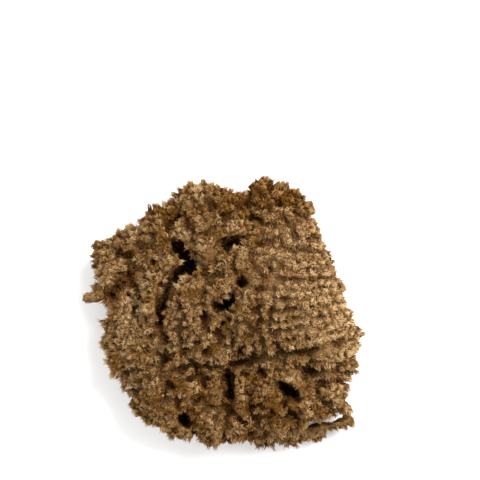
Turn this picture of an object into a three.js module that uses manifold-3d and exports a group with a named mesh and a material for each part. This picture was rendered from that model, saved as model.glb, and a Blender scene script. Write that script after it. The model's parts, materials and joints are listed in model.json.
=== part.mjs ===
// A natural sea wool sponge, dry, as it is sold for painting and washing.
// It grew as one piece: rounded lobes run together round a broad foot, water
// canals open between them, and the foot is trimmed flat where it was cut from
// the rock. It lies on that cut, with +Z up, and +Y towards its upper rim.
import * as THREE from 'three';
import { mergeVertices } from 'three/addons/utils/BufferGeometryUtils.js';
import Module from 'manifold-3d';

// Driving dimensions, in millimetres.
const BASE_LEVEL = 0; // where the foot is trimmed
const SWELL_HEIGHT = 0.9; // how far each of three waves lifts and lowers the skin
const SWELL_LENGTH = 19; // from one swelling to the next
const CANAL_SIDES = 7;
const CANAL_FLARE = 1.35; // a canal's mouth against its throat
const CANAL_TIP = 0.55; // the blind end against the throat
const CANAL_TIP_RISE = 0.6; // how high the blind end's bevel is, against its radius
const CANAL_THROAT = 0.35; // how far along a canal its throat lies
const ABOVE_TOP = 70; // a cutter from above starts here, clear of the crown
const UNDER_FOOT = 2; // a cutter from below starts this far under the cut
const KEPT_SIDE = 400; // the block above the cut, far larger than the sponge
const WELD_DISTANCE = 1e-3; // corners closer than this are one corner

// Facets along an edge of the icosahedron that each lobe starts from.
const FINE = 5;
const MEDIUM = 4;
const COARSE = 3;

// The waves that cross the skin: how each runs along x, y and z, and its shift in radians.
const SWELLS = [
  { run: [1, 0.4, 0], shift: 0 },
  { run: [0, 0.9, -0.5], shift: 1.7 },
  { run: [0.6, 0, 0.8], shift: 4.1 },
];

// Each lobe is a swelling ellipsoid: its centre, its radii, and its turn about +Z in degrees.
const LOBES = [
  // The broad foot, and the two masses that stand on it.
  { at: [1, -2, 16], radii: [57, 56, 26], turn: 0, facets: MEDIUM },
  { at: [17, 11, 23], radii: [45, 38.5, 35], turn: -24, facets: FINE },
  { at: [-11, 6, 23], radii: [32, 35, 31], turn: -6, facets: FINE },
  // The right shoulder.
  { at: [42.5, -13, 20], radii: [27, 24.5, 28], turn: -24, facets: MEDIUM },
  { at: [55, -23, 19], radii: [14.5, 11.5, 18], turn: -30, facets: COARSE },
  // The upper rim, from right to left.
  { at: [21.5, 49, 22], radii: [18.5, 19, 22], turn: 4, facets: MEDIUM },
  { at: [30, 38, 22], radii: [18.5, 21, 25], turn: 10, facets: MEDIUM },
  { at: [31, 46, 21], radii: [17, 13, 20], turn: 42, facets: COARSE },
  { at: [5, 49, 21], radii: [13, 13.5, 20], turn: 0, facets: COARSE },
  { at: [27.8, 61.8, 19], radii: [8.3, 4.6, 12], turn: -8, facets: COARSE },
  { at: [-11, 45, 22], radii: [21, 22, 23], turn: 14, facets: MEDIUM },
  { at: [-31, 35, 21], radii: [22, 18, 22], turn: 32, facets: MEDIUM },
  { at: [-27, 46, 20], radii: [11.5, 9.5, 19], turn: 0, facets: COARSE },
  // The left ear and the lobe under it.
  { at: [-50, 27, 20], radii: [19, 16, 18], turn: 26, facets: MEDIUM },
  { at: [-53, 33, 18], radii: [11, 9.5, 14], turn: 0, facets: COARSE },
  { at: [-52, 11.5, 19], radii: [16, 11.5, 17], turn: 0, facets: COARSE },
  // The left flank and hip.
  { at: [-43, -6, 20], radii: [19.5, 15, 22], turn: 0, facets: MEDIUM },
  { at: [-46, -17.5, 18], radii: [16.5, 9, 17], turn: 0, facets: COARSE },
  { at: [-41, -23.5, 20], radii: [20, 16, 21], turn: -10, facets: COARSE },
  // The lower rim, from left to right, and its tail.
  { at: [-25, -41.2, 20], radii: [29, 22.5, 25], turn: -38, facets: MEDIUM },
  { at: [-3, -45.5, 20], radii: [27, 23, 25], turn: 0, facets: MEDIUM },
  { at: [25, -43.5, 20], radii: [29, 23, 25], turn: 10, facets: MEDIUM },
  { at: [46, -40, 18], radii: [17.5, 13, 19], turn: 6, facets: COARSE },
  { at: [55.3, -45.4, 17], radii: [9, 7.8, 13], turn: 12, facets: COARSE },
  // Two thin tongues under the tail, with slits between them and it.
  { at: [53, -58.4, 11], radii: [12.5, 2.7, 6.5], turn: 14, facets: COARSE },
  { at: [33.6, -64.8, 10], radii: [20.5, 5.4, 8], turn: 9, facets: COARSE },
];

// Canals that open on top: the mouth's place, its throat radius, how high the
// blind end lies above the base, and how far that end is led aside.
const TOP_CANALS = [
  // The gorge down the left, a row of canals that have run into one another.
  { mouth: [-26.2, 36], radius: 3.0, floor: 16, lead: [2, -4] },
  { mouth: [-23.6, 33], radius: 2.8, floor: 18, lead: [1, -2] },
  { mouth: [-20.6, 29.4], radius: 3.8, floor: 14, lead: [1, -1] },
  { mouth: [-16.8, 24.6], radius: 5.4, floor: 10, lead: [0, 0] },
  { mouth: [-20.2, 20.6], radius: 4.6, floor: 15, lead: [0, 0] },
  { mouth: [-24.2, 18], radius: 4.6, floor: 13, lead: [0, 0] },
  { mouth: [-27.8, 14.6], radius: 3.8, floor: 18, lead: [0, 0] },
  { mouth: [-30.2, 11], radius: 3.4, floor: 15, lead: [0, 0] },
  { mouth: [-31.2, 6.6], radius: 3.0, floor: 17, lead: [0, 0] },
  { mouth: [-31.7, 2.4], radius: 2.8, floor: 16, lead: [0, 0] },
  { mouth: [-32, -1.8], radius: 2.6, floor: 18, lead: [0, 0] },
  { mouth: [-32.2, -6], radius: 2.4, floor: 18, lead: [1, 0] },
  // The long mouth behind the crown.
  { mouth: [-4.5, 32.8], radius: 2.6, floor: 32, lead: [4, 0] },
  { mouth: [-0.5, 33.6], radius: 3.2, floor: 28, lead: [1, 0] },
  { mouth: [3.5, 34.8], radius: 3.8, floor: 24, lead: [0, -1] },
  { mouth: [8, 36.6], radius: 3.0, floor: 28, lead: [-2, -1] },
  { mouth: [12, 38.4], radius: 2.4, floor: 32, lead: [-3, -1] },
  // The mouths between the middle and the crown.
  { mouth: [-0.4, 2.6], radius: 3.6, floor: 16, lead: [1, 1] },
  { mouth: [2, 6.2], radius: 4.0, floor: 20, lead: [0, 0] },
  { mouth: [4.6, 10], radius: 3.4, floor: 24, lead: [-1, -1] },
  { mouth: [9, 16], radius: 2.7, floor: 32, lead: [-1, -1] },
  // The slot under the crown's fold.
  { mouth: [1.2, -29.4], radius: 2.4, floor: 24, lead: [0, 0] },
  { mouth: [1.6, -33], radius: 2.7, floor: 18, lead: [0, 0] },
  { mouth: [2, -36.8], radius: 2.7, floor: 16, lead: [0, 0] },
  { mouth: [2.6, -40.6], radius: 2.4, floor: 18, lead: [0, 0] },
  { mouth: [3.4, -44], radius: 2.0, floor: 20, lead: [0, 1] },
  // The mouths along the lower rim.
  { mouth: [28, -37.6], radius: 3.4, floor: 18, lead: [1, 0] },
  { mouth: [32.6, -39.6], radius: 3.6, floor: 15, lead: [0, 0] },
  { mouth: [37, -41.6], radius: 3.2, floor: 17, lead: [-1, 0] },
  { mouth: [12, -40], radius: 2.3, floor: 24, lead: [1, 0] },
  { mouth: [-20, -57], radius: 3.8, floor: 14, lead: [1, 4] },
  // The slit between the left ear and its lobe.
  { mouth: [-46.1, 22.4], radius: 2.0, floor: 25, lead: [0, 0] },
  { mouth: [-48.9, 19], radius: 2.6, floor: 23, lead: [0, 0] },
  { mouth: [-51.6, 15.6], radius: 2.9, floor: 22, lead: [0, 0] },
  { mouth: [-54.2, 12.2], radius: 2.9, floor: 21, lead: [0, 0] },
  { mouth: [-56.8, 8.8], radius: 2.6, floor: 20, lead: [0, 0] },
  { mouth: [-59.2, 5.6], radius: 2.0, floor: 20, lead: [1, 0] },
];

// Slits cut right through, between the tail and its tongues: both ends seen from above, and the width.
const SLITS = [
  { from: [38.4, -58.9], to: [48.8, -56.9], width: 3.2 },
  { from: [50.2, -57.5], to: [61, -53.4], width: 3.8 },
  { from: [44.3, -62.4], to: [48.5, -62], width: 2.2 },
  { from: [50.6, -61.2], to: [65, -61], width: 2.4 },
];

// Canals that the trimming cut laid open: place, throat radius and depth into the foot.
const BASE_CANALS = [
  { mouth: [-26, 14], radius: 3.2, depth: 12 },
  { mouth: [-14, -20], radius: 4.4, depth: 14 },
  { mouth: [9, 24], radius: 3.8, depth: 13 },
  { mouth: [24, -9], radius: 4.0, depth: 12 },
  { mouth: [12, -25], radius: 2.8, depth: 10 },
  { mouth: [-29, -6], radius: 2.6, depth: 9 },
];

const wasm = await Module();
wasm.setup();

/** A closed three.js geometry as a solid that can be joined and cut. */
function solidFrom(geometry) {
  const bare = geometry.clone();
  bare.deleteAttribute('normal');
  bare.deleteAttribute('uv');
  const merged = mergeVertices(bare, WELD_DISTANCE);
  return new wasm.Manifold(new wasm.Mesh({
    numProp: 3,
    vertProperties: merged.attributes.position.array,
    triVerts: new Uint32Array(merged.index.array),
  }));
}

/** A solid's surface as a three.js geometry. */
function geometryFrom(solid) {
  const mesh = solid.getMesh();
  const geometry = new THREE.BufferGeometry();
  geometry.setAttribute('position', new THREE.BufferAttribute(mesh.vertProperties, mesh.numProp));
  geometry.setIndex(new THREE.BufferAttribute(mesh.triVerts, 1));
  geometry.computeVertexNormals();
  return geometry;
}

/** How far the skin stands out at a point, the sum of the crossing waves. */
function swelling(point) {
  const turn = (2 * Math.PI) / SWELL_LENGTH;
  const heights = SWELLS.map(({ run, shift }) => (
    Math.sin(turn * new THREE.Vector3(...run).dot(point) + shift)
  ));
  return SWELL_HEIGHT * heights.reduce((sum, height) => sum + height);
}

/** One lobe: an icosphere drawn out to its radii, turned, set in place and made to swell. */
function lobe({ at, radii, turn, facets }) {
  const geometry = new THREE.IcosahedronGeometry(1, facets);
  geometry.scale(...radii);
  geometry.rotateZ(THREE.MathUtils.degToRad(turn));
  const places = geometry.getAttribute('position');
  const centre = new THREE.Vector3(...at);
  const spoke = new THREE.Vector3();
  const point = new THREE.Vector3();
  for (let i = 0; i < places.count; i++) {
    spoke.fromBufferAttribute(places, i);
    point.copy(centre).add(spoke);
    point.addScaledVector(spoke.normalize(), swelling(point));
    places.setXYZ(i, point.x, point.y, point.z);
  }
  return solidFrom(geometry);
}

/** A round canal's cutter: narrow at its blind end, flared at its mouth, pointing up. */
function canalCutter(radius, length) {
  const tip = radius * CANAL_TIP;
  const profile = [
    new THREE.Vector2(0, 0),
    new THREE.Vector2(tip, tip * CANAL_TIP_RISE),
    new THREE.Vector2(radius, length * CANAL_THROAT),
    new THREE.Vector2(radius * CANAL_FLARE, length),
    new THREE.Vector2(0, length),
  ];
  const geometry = new THREE.LatheGeometry(profile, CANAL_SIDES);
  geometry.rotateX(Math.PI / 2);
  return geometry;
}

/** A canal from the top, leaning so that its blind end lies aside of its mouth. */
function topCanal({ mouth, radius, floor, lead }) {
  const length = ABOVE_TOP - floor;
  const geometry = canalCutter(radius, length);
  const lean = new THREE.Matrix4().makeShear(0, 0, 0, 0, -lead[0] / length, -lead[1] / length);
  geometry.applyMatrix4(lean);
  geometry.translate(mouth[0] + lead[0], mouth[1] + lead[1], floor);
  return solidFrom(geometry);
}

/** A canal that the trimming cut laid open, from below. */
function baseCanal({ mouth, radius, depth }) {
  const geometry = canalCutter(radius, depth + UNDER_FOOT);
  geometry.rotateX(Math.PI);
  geometry.translate(mouth[0], mouth[1], BASE_LEVEL + depth);
  return solidFrom(geometry);
}

/** A slit's cutter: an upright board, from under the foot to above the top. */
function slit({ from, to, width }) {
  const run = new THREE.Vector2(...to).sub(new THREE.Vector2(...from));
  const geometry = new THREE.BoxGeometry(run.length(), width, 2 * ABOVE_TOP);
  geometry.rotateZ(run.angle());
  geometry.translate((from[0] + to[0]) / 2, (from[1] + to[1]) / 2, 0);
  return solidFrom(geometry);
}

/** Everything above the trimming cut. */
function aboveTheCut() {
  const block = new THREE.BoxGeometry(KEPT_SIDE, KEPT_SIDE, KEPT_SIDE);
  block.translate(0, 0, BASE_LEVEL + KEPT_SIDE / 2);
  return solidFrom(block);
}

/** The whole sponge, with its origin under the middle of its box, on the cut. */
function spongeGeometry() {
  const grown = LOBES.map(lobe).reduce((whole, next) => whole.add(next));
  const bored = [...TOP_CANALS.map(topCanal), ...BASE_CANALS.map(baseCanal), ...SLITS.map(slit)]
    .reduce((whole, cutter) => whole.subtract(cutter), grown);
  const geometry = geometryFrom(bored.intersect(aboveTheCut()));
  geometry.computeBoundingBox();
  const middle = geometry.boundingBox.getCenter(new THREE.Vector3());
  geometry.translate(-middle.x, -middle.y, 0);
  return geometry;
}

const body = new THREE.Mesh(
  spongeGeometry(),
  new THREE.MeshStandardMaterial({ color: 0x9a7448, roughness: 0.95, metalness: 0, flatShading: true }),
);
body.name = 'sponge';

const sponge = new THREE.Group();
sponge.add(body);

export default sponge;
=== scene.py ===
"""A natural wool sea sponge: its knobbed body, the fibres that clothe it, and a plain studio."""

import json
import logging
import math
from dataclasses import dataclass, field
from enum import Enum

import bmesh
import bpy
import numpy as np
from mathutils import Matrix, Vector, noise
from mathutils.bvhtree import BVHTree
from mathutils.kdtree import KDTree

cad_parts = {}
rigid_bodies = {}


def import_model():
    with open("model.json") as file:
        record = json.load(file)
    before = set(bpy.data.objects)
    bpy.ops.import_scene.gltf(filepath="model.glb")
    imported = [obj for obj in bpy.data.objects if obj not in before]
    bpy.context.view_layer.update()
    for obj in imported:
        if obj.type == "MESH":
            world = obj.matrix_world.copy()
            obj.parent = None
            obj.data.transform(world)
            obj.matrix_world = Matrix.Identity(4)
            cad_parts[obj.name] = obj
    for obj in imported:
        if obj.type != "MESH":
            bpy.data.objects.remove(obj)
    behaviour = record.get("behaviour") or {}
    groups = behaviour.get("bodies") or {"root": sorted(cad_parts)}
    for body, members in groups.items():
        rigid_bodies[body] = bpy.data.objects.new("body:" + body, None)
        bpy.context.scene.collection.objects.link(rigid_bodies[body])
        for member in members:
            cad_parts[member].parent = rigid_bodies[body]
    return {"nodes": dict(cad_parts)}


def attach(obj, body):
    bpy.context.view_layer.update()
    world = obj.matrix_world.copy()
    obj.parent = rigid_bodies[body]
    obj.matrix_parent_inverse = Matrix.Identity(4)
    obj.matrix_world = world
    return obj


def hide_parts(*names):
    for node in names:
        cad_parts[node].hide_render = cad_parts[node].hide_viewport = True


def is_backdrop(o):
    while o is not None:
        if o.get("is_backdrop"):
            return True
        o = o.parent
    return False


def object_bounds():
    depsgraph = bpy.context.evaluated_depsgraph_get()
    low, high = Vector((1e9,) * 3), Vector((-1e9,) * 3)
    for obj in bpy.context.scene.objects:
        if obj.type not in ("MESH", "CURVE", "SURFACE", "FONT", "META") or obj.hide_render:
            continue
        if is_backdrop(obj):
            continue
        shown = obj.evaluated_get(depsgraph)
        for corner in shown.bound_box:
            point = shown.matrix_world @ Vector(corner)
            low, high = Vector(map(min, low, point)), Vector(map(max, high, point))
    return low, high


MM = 0.001
NODE = "sponge"
BODY = "root"
COLOUR_MAP = "OFBake"
OPEN_SKY = 0.62  # a place that sees less of the sky than this is inside a canal
LEVEL = np.array((1, 1, 0))  # times this, a vector loses its height
NOISE_MIDDLE = (0.5, 0.5, 0.5)
log = logging.getLogger("sea_sponge")

Colour = tuple[float, float, float]
Feed = bpy.types.NodeSocket | bpy.types.ID | float | str | tuple[float, ...]


class Trait(Enum):
    """The attributes that the body's skin hands on to the tufts and fibres that grow from it."""

    OPENNESS = "openness"
    TINT = "tint"
    LEAN = "lean"
    DENSITY = "density"
    CREST = "crest"
    CUT = "cut"
    LENGTH = "fibre_length"
    REGION = "region"
    AXIS = "axis"
    SIZE = "size"
    RISE = "rise"
    SIDE = "side"
    TIP = "tuft_tip"


class Draw(Enum):
    """The runs of random values that the fleece is grown with."""

    TINT = 3
    TUFT_TINT = 4
    WAY = 5
    TUFT_HEIGHT = 6
    SPIN = 7
    WIDTH = 8
    LENGTH = 9
    KIND = 13


@dataclass(frozen=True)
class Zone:
    """A soft-edged oval seen from above, and how strongly it acts at its middle.

    Sizes are in millimetres, and turn is in degrees about +Z.
    """

    centre: tuple[float, float]
    radii: tuple[float, float]
    amount: float
    turn: float = 0.0

    def weight(self, places: np.ndarray) -> np.ndarray:
        """How strongly the zone acts at each place.

        Args:
            places: one row of x, y, z for each place, in metres.

        Returns:
            One number a place, which is the amount at the middle and fades to nothing outside.
        """
        angle = math.radians(self.turn)
        across = places[:, :2] / MM - np.array(self.centre)
        along = across @ np.array([math.cos(angle), math.sin(angle)]) / self.radii[0]
        aside = across @ np.array([-math.sin(angle), math.cos(angle)]) / self.radii[1]
        return self.amount * np.exp(-(along**2 + aside**2))


@dataclass(frozen=True)
class Knob:
    """One rounded clump of the skin: where it stands, which way it points and how big it is."""

    place: Vector
    axis: Vector
    radius: float
    reach: float


def mesh_of(source: bpy.types.Object, name: str) -> bpy.types.Mesh:
    """A new mesh that holds an object's shape with its modifiers applied.

    Args:
        source: the object to read.
        name: the new mesh's name.

    Returns:
        The mesh, which belongs to no object yet.
    """
    graph = bpy.context.evaluated_depsgraph_get()
    mesh = bpy.data.meshes.new_from_object(source.evaluated_get(graph))
    mesh.name = name
    return mesh


def cast(shape: bmesh.types.BMesh, name: str) -> bpy.types.Mesh:
    """Turns a shape into a mesh, and frees the shape.

    Args:
        shape: the finished shape.
        name: the mesh's name.

    Returns:
        The mesh.
    """
    mesh = bpy.data.meshes.new(name)
    shape.to_mesh(mesh)
    shape.free()
    return mesh


def show(name: str, mesh: bpy.types.Mesh) -> bpy.types.Object:
    """Puts a mesh into the scene.

    Args:
        name: the object's name.
        mesh: its mesh.

    Returns:
        The object, at the origin.
    """
    made = bpy.data.objects.new(name, mesh)
    bpy.context.scene.collection.objects.link(made)
    return made


def wear(piece: bpy.types.Object, paint: bpy.types.Material) -> None:
    """Gives a piece its one material, and shades it smooth.

    Args:
        piece: the finished piece.
        paint: the material.
    """
    piece.data.materials.clear()
    piece.data.materials.append(paint)
    piece.data.shade_smooth()


def remove(thing: bpy.types.Object) -> None:
    """Takes a helper out of the file.

    Args:
        thing: the object, which goes with its mesh.
    """
    mesh = thing.data
    bpy.data.objects.remove(thing)
    bpy.data.meshes.remove(mesh)


def remeshed(mesh: bpy.types.Mesh, voxel: float, name: str) -> bpy.types.Mesh:
    """One closed, even skin round all that a mesh holds, which takes that mesh's place.

    Args:
        mesh: the mesh, which is removed.
        voxel: how fine the skin is.
        name: the skin's name.

    Returns:
        The skin.
    """
    holder = show(mesh.name, mesh)
    remesh = holder.modifiers.new("remesh", "REMESH")
    remesh.mode = "VOXEL"
    remesh.voxel_size = voxel
    skin = mesh_of(holder, name)
    remove(holder)
    return skin


def corners(mesh: bpy.types.Mesh, kind: str = "co") -> np.ndarray:
    """A mesh's vertex places, or their normals.

    Args:
        mesh: the mesh to read.
        kind: "co" for the places or "normal" for the normals.

    Returns:
        One row of x, y, z a vertex.
    """
    found = np.empty(len(mesh.vertices) * 3, np.float32)
    mesh.vertices.foreach_get(kind, found)
    return found.reshape(-1, 3).astype(float)


def move(mesh: bpy.types.Mesh, places: np.ndarray) -> None:
    """Moves a mesh's vertices to new places, one row of x, y, z a vertex."""
    mesh.vertices.foreach_set("co", places.astype(np.float32).ravel())


def write(mesh: bpy.types.Mesh, trait: Trait, values: np.ndarray) -> None:
    """Stores a trait on a mesh's vertices.

    Args:
        mesh: the mesh to write on.
        trait: which trait.
        values: one number, or one row of three, for each vertex.
    """
    vectors = values.ndim == 2
    kind = "FLOAT_VECTOR" if vectors else "FLOAT"
    layer = mesh.attributes.new(trait.value, kind, "POINT")
    layer.data.foreach_set("vector" if vectors else "value", values.astype(np.float32).ravel())


def ramp(values: np.ndarray, low: float, high: float) -> np.ndarray:
    """How far each value is from a low to a high, from 0 to 1."""
    return np.clip((values - low) / (high - low), 0, 1)


def drift(places: np.ndarray, scale: float) -> np.ndarray:
    """A smooth wandering value at each place, about 0, that turns faster at a higher scale."""
    return np.array([noise.noise(Vector(place) * scale) for place in places])


def pressed(heights: np.ndarray, start: float) -> np.ndarray:
    """Heights pressed together, from a start height down, so that none reaches the floor."""
    return np.where(heights < start, start * np.exp(np.minimum(heights / start - 1, 0)), heights)


def tree_of(places: np.ndarray) -> KDTree:
    """Makes a search tree.

    Args:
        places: one row of x, y, z a place.

    Returns:
        The tree, which gives each place its row's number.
    """
    tree = KDTree(len(places))
    for i, place in enumerate(places):
        tree.insert(place, i)
    tree.balance()
    return tree


class Nodes:
    """A tree of nodes in the making, for a shape or for a finish."""

    def __init__(self, tree: bpy.types.NodeTree) -> None:
        """Keeps the tree that the nodes go into."""
        self.tree = tree

    def node(
        self, kind: str, inputs: dict[str, Feed] | None = None, **settings: Feed,
    ) -> bpy.types.Node:
        """Adds a node, sets it and feeds it.

        Args:
            kind: the node's type name.
            inputs: for each input's name, another node's output to link, or a plain value.
            **settings: properties of the node itself.

        Returns:
            The node.
        """
        made = self.tree.nodes.new(kind)
        for name, value in settings.items():
            setattr(made, name, value)
        for name, value in (inputs or {}).items():
            self.feed(self.pick(made.inputs, name), value)
        return made

    def feed(self, socket: bpy.types.NodeSocket, value: Feed) -> None:
        """Links an output to an input, or gives the input a plain value.

        Args:
            socket: the input.
            value: the output or the value.
        """
        if isinstance(value, bpy.types.NodeSocket):
            self.tree.links.new(value, socket)
        else:
            socket.default_value = value

    def pick(self, sockets: bpy.types.bpy_prop_collection, name: str) -> bpy.types.NodeSocket:
        """The first socket in use that has this name."""
        return next(socket for socket in sockets if socket.enabled and socket.name == name)

    def out(self, made: bpy.types.Node, name: str) -> bpy.types.NodeSocket:
        """A node's first output in use that has this name."""
        return self.pick(made.outputs, name)

    def maths(self, operation: str, a: Feed, b: Feed = 0.0) -> bpy.types.NodeSocket:
        """The result of one sum on two numbers.

        Args:
            operation: the sum's name.
            a: the first number, or an output.
            b: the second.

        Returns:
            The output that holds the result.
        """
        made = self.node("ShaderNodeMath", operation=operation)
        self.feed(made.inputs[0], a)
        self.feed(made.inputs[1], b)
        return made.outputs[0]


class Graph(Nodes):
    """A geometry node group in the making, which takes one mesh in and gives one out."""

    def __init__(self, name: str) -> None:
        """Starts an empty group with a geometry input and output.

        Args:
            name: the group's name.
        """
        super().__init__(bpy.data.node_groups.new(name, "GeometryNodeTree"))
        for side in ("INPUT", "OUTPUT"):
            self.tree.interface.new_socket(
                "Geometry", in_out=side, socket_type="NodeSocketGeometry",
            )
        self.source = self.tree.nodes.new("NodeGroupInput").outputs[0]
        self.sink = self.tree.nodes.new("NodeGroupOutput").inputs[0]

    def named(self, trait: Trait, kind: str = "FLOAT") -> bpy.types.NodeSocket:
        """A trait's value."""
        made = self.node("GeometryNodeInputNamedAttribute", {"Name": trait.value}, data_type=kind)
        return self.out(made, "Attribute")

    def here(self) -> bpy.types.NodeSocket:
        """Each element's own place."""
        return self.out(self.node("GeometryNodeInputPosition"), "Position")

    def vectors(
        self, operation: str, a: Feed, b: Feed = (0.0, 0.0, 0.0),
    ) -> bpy.types.NodeSocket:
        """The result of one sum on two vectors.

        Args:
            operation: the sum's name.
            a: the first vector, or an output.
            b: the second, or for SCALE a number.

        Returns:
            The output that holds the result.
        """
        made = self.node("ShaderNodeVectorMath", {"Vector": a}, operation=operation)
        scaled = operation == "SCALE"
        self.feed(self.pick(made.inputs, "Scale") if scaled else made.inputs[1], b)
        return made.outputs[0]

    def chance(
        self, low: Feed, high: Feed, draw: Draw, kind: str = "FLOAT",
    ) -> bpy.types.NodeSocket:
        """A random value for each element, between a low and a high."""
        limits = {"Min": low, "Max": high, "Seed": draw.value}
        return self.out(self.node("FunctionNodeRandomValue", limits, data_type=kind), "Value")

    def any_way(self) -> bpy.types.NodeSocket:
        """A random vector for each element."""
        return self.chance((-1, -1, -1), (1, 1, 1), Draw.WAY, "FLOAT_VECTOR")

    def aimed(self, way: bpy.types.NodeSocket) -> bpy.types.NodeSocket:
        """The turn that aims +Z along a vector."""
        made = self.node("FunctionNodeAlignRotationToVector", {"Vector": way}, axis="Z")
        return self.out(made, "Rotation")

    def sown(self, inputs: dict[str, Feed], **settings: Feed) -> bpy.types.Node:
        """Adds the node that sows points over the source's faces, fed as told besides."""
        fed = {"Mesh": self.source, **inputs}
        return self.node("GeometryNodeDistributePointsOnFaces", fed, **settings)

    def planted(self, inputs: dict[str, Feed]) -> bpy.types.NodeSocket:
        """Copies of a shape set on points, and made real.

        Args:
            inputs: the points, the shape, and how each copy is turned and scaled.

        Returns:
            The output that holds the copies.
        """
        placed = self.out(self.node("GeometryNodeInstanceOnPoints", inputs), "Instances")
        real = self.node("GeometryNodeRealizeInstances", {"Geometry": placed})
        return self.out(real, "Geometry")

    def stored(
        self, shape: bpy.types.NodeSocket, name: str, value: Feed, kind: str = "FLOAT",
        domain: str = "POINT",
    ) -> bpy.types.NodeSocket:
        """A shape with a named attribute stored on it.

        Args:
            shape: the output that holds the shape.
            name: the attribute's name.
            value: its value.
            kind: the value's type.
            domain: what the values are stored on.

        Returns:
            The output that holds the shape and its attribute.
        """
        made = self.node("GeometryNodeStoreNamedAttribute", {
            "Geometry": shape, "Name": name, "Value": value,
        }, data_type=kind, domain=domain)
        return self.out(made, "Geometry")

    def applied(self, holder: bpy.types.Object, name: str) -> bpy.types.Mesh:
        """The mesh that this group makes of an object, after which the group is removed.

        Args:
            holder: the object to run on.
            name: the new mesh's name.

        Returns:
            The mesh.
        """
        step = holder.modifiers.new("graph", "NODES")
        step.node_group = self.tree
        mesh = mesh_of(holder, name)
        holder.modifiers.remove(step)
        bpy.data.node_groups.remove(self.tree)
        return mesh


@dataclass(frozen=True)
class Fold:
    """A crease in the skin, along a line seen from above. Its sizes are in millimetres."""

    line: tuple[tuple[float, float], ...]
    width: float
    depth: float

    def nearness(self, places: np.ndarray) -> np.ndarray:
        """How deep in the crease each place is.

        Args:
            places: one row of x, y, z a place, in metres.

        Returns:
            One number a place, from 0 outside the crease to 1 on its line.
        """
        spots = places[:, :2] / MM
        gap = np.full(len(places), np.inf)
        for start, end in zip(self.line, self.line[1:]):
            a, run = np.array(start), np.array(end) - np.array(start)
            share = np.clip((spots - a) @ run / (run @ run), 0, 1)
            gap = np.minimum(gap, np.linalg.norm(spots - a - share[:, None] * run, axis=1))
        return np.exp(-((gap / self.width) ** 2))


FOLDS = (
    Fold(((-12, -32), (-1, -28.5), (6, -25.5), (13, -24), (26, -21.5), (45, -18.5), (60, -15)),
         2.4, 6.0),
    Fold(((1, -28), (2, -36), (4, -46)), 2.4, 4.0),
    Fold(((-31, 6), (-32.5, -4), (-31.5, -12), (-29, -22)), 2.2, 5.0),
    Fold(((-18, 24.6), (-23.4, 19), (-29, 13)), 4.4, 5.0),
    Fold(((-46, 23.5), (-53, 15), (-60, 5.5)), 3.0, 6.0),
    Fold(((5.5, 12.5), (9, 16), (13, 18)), 2.2, 4.0),
    Fold(((-2, 33), (6, 35), (17, 40.5)), 2.4, 4.0),
    Fold(((62, -27), (48, -30), (38, -32)), 2.0, 5.0),
)
PITS = (
    Zone((-17.2, 23.6), (4.8, 4.4), 11.0),
    Zone((-22, 19.4), (4.2, 3.6), 11.0),
    Zone((24, -35), (3.6, 2.8), 8.0),
    Zone((31, -42), (3.4, 3.0), 9.0),
    Zone((40, -37), (4.2, 2.4), 8.0, 20),
    Zone((14, -46), (3.0, 2.4), 6.0),
    Zone((-8, -38), (3.0, 2.4), 6.0),
    Zone((-27, -36), (3.4, 2.6), 7.0),
    Zone((-36, 47), (3.0, 2.2), 6.0),
    Zone((-29, 43), (2.8, 2.4), 6.0),
    Zone((6, 20), (2.8, 2.2), 5.0),
    Zone((-12, -10), (2.6, 2.2), 5.0),
    Zone((18, -28), (2.6, 2.0), 6.0),
)


@dataclass(frozen=True)
class Rows:
    """The combed rows on the right, which draw together towards the rim.

    Sizes are in millimetres.
    """

    zone: Zone = Zone((48, 4), (22, 31), 1.0)
    strength: float = 1.7
    spacing: float = 5.2
    start: float = 30.0
    slope: float = 0.12
    fan: float = 0.006

    def height(self, number: int, x: float) -> float:
        """A row's y at some x, where row 0 passes the start at y = 0."""
        first = number * self.spacing
        return first + (x - self.start) * (self.slope - self.fan * first)

    def furrow(self, places: np.ndarray) -> np.ndarray:
        """How far into the gap between two rows each place is.

        Args:
            places: one row of x, y, z a place, in metres.

        Returns:
            One number a place, from 0 on a row, or away from them all, to 1.
        """
        across = places[:, 0] / MM - self.start
        first = (places[:, 1] / MM - self.slope * across) / (1 - self.fan * across)
        between = 0.5 - 0.5 * np.cos(math.tau * first / self.spacing)
        return np.clip(self.zone.weight(places) * self.strength, 0, 1) * between


ROWS = Rows()


@dataclass(frozen=True)
class Clefts:
    """The clefts that wind between the clumps everywhere but in the rows."""

    scale: float = 92.0
    detail: float = 210.0
    detail_share: float = 0.35
    width: float = 0.16
    depth: float = 3.2 * MM
    kept_from_rows: float = 1.5

    def nearness(self, places: np.ndarray) -> np.ndarray:
        """How far into a cleft each place is.

        Args:
            places: one row of x, y, z a place, in metres.

        Returns:
            One number a place, from 0 on a clump to 1.
        """
        fine = drift(places, self.detail) * self.detail_share
        level = (drift(places, self.scale) + fine) / self.width
        in_rows = np.clip(ROWS.zone.weight(places) * self.kept_from_rows, 0, 1)
        return np.exp(-(level**2)) * (1 - in_rows)


CLEFTS = Clefts()


def hollowing(places: np.ndarray) -> np.ndarray:
    """How far the folds and the pits press the skin in.

    Args:
        places: one row of x, y, z a place, in metres.

    Returns:
        One depth a place, in metres.
    """
    deepest = [fold.depth * fold.nearness(places) for fold in FOLDS]
    deepest += [pit.weight(places) for pit in PITS]
    return np.max(deepest, axis=0) * MM


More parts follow.
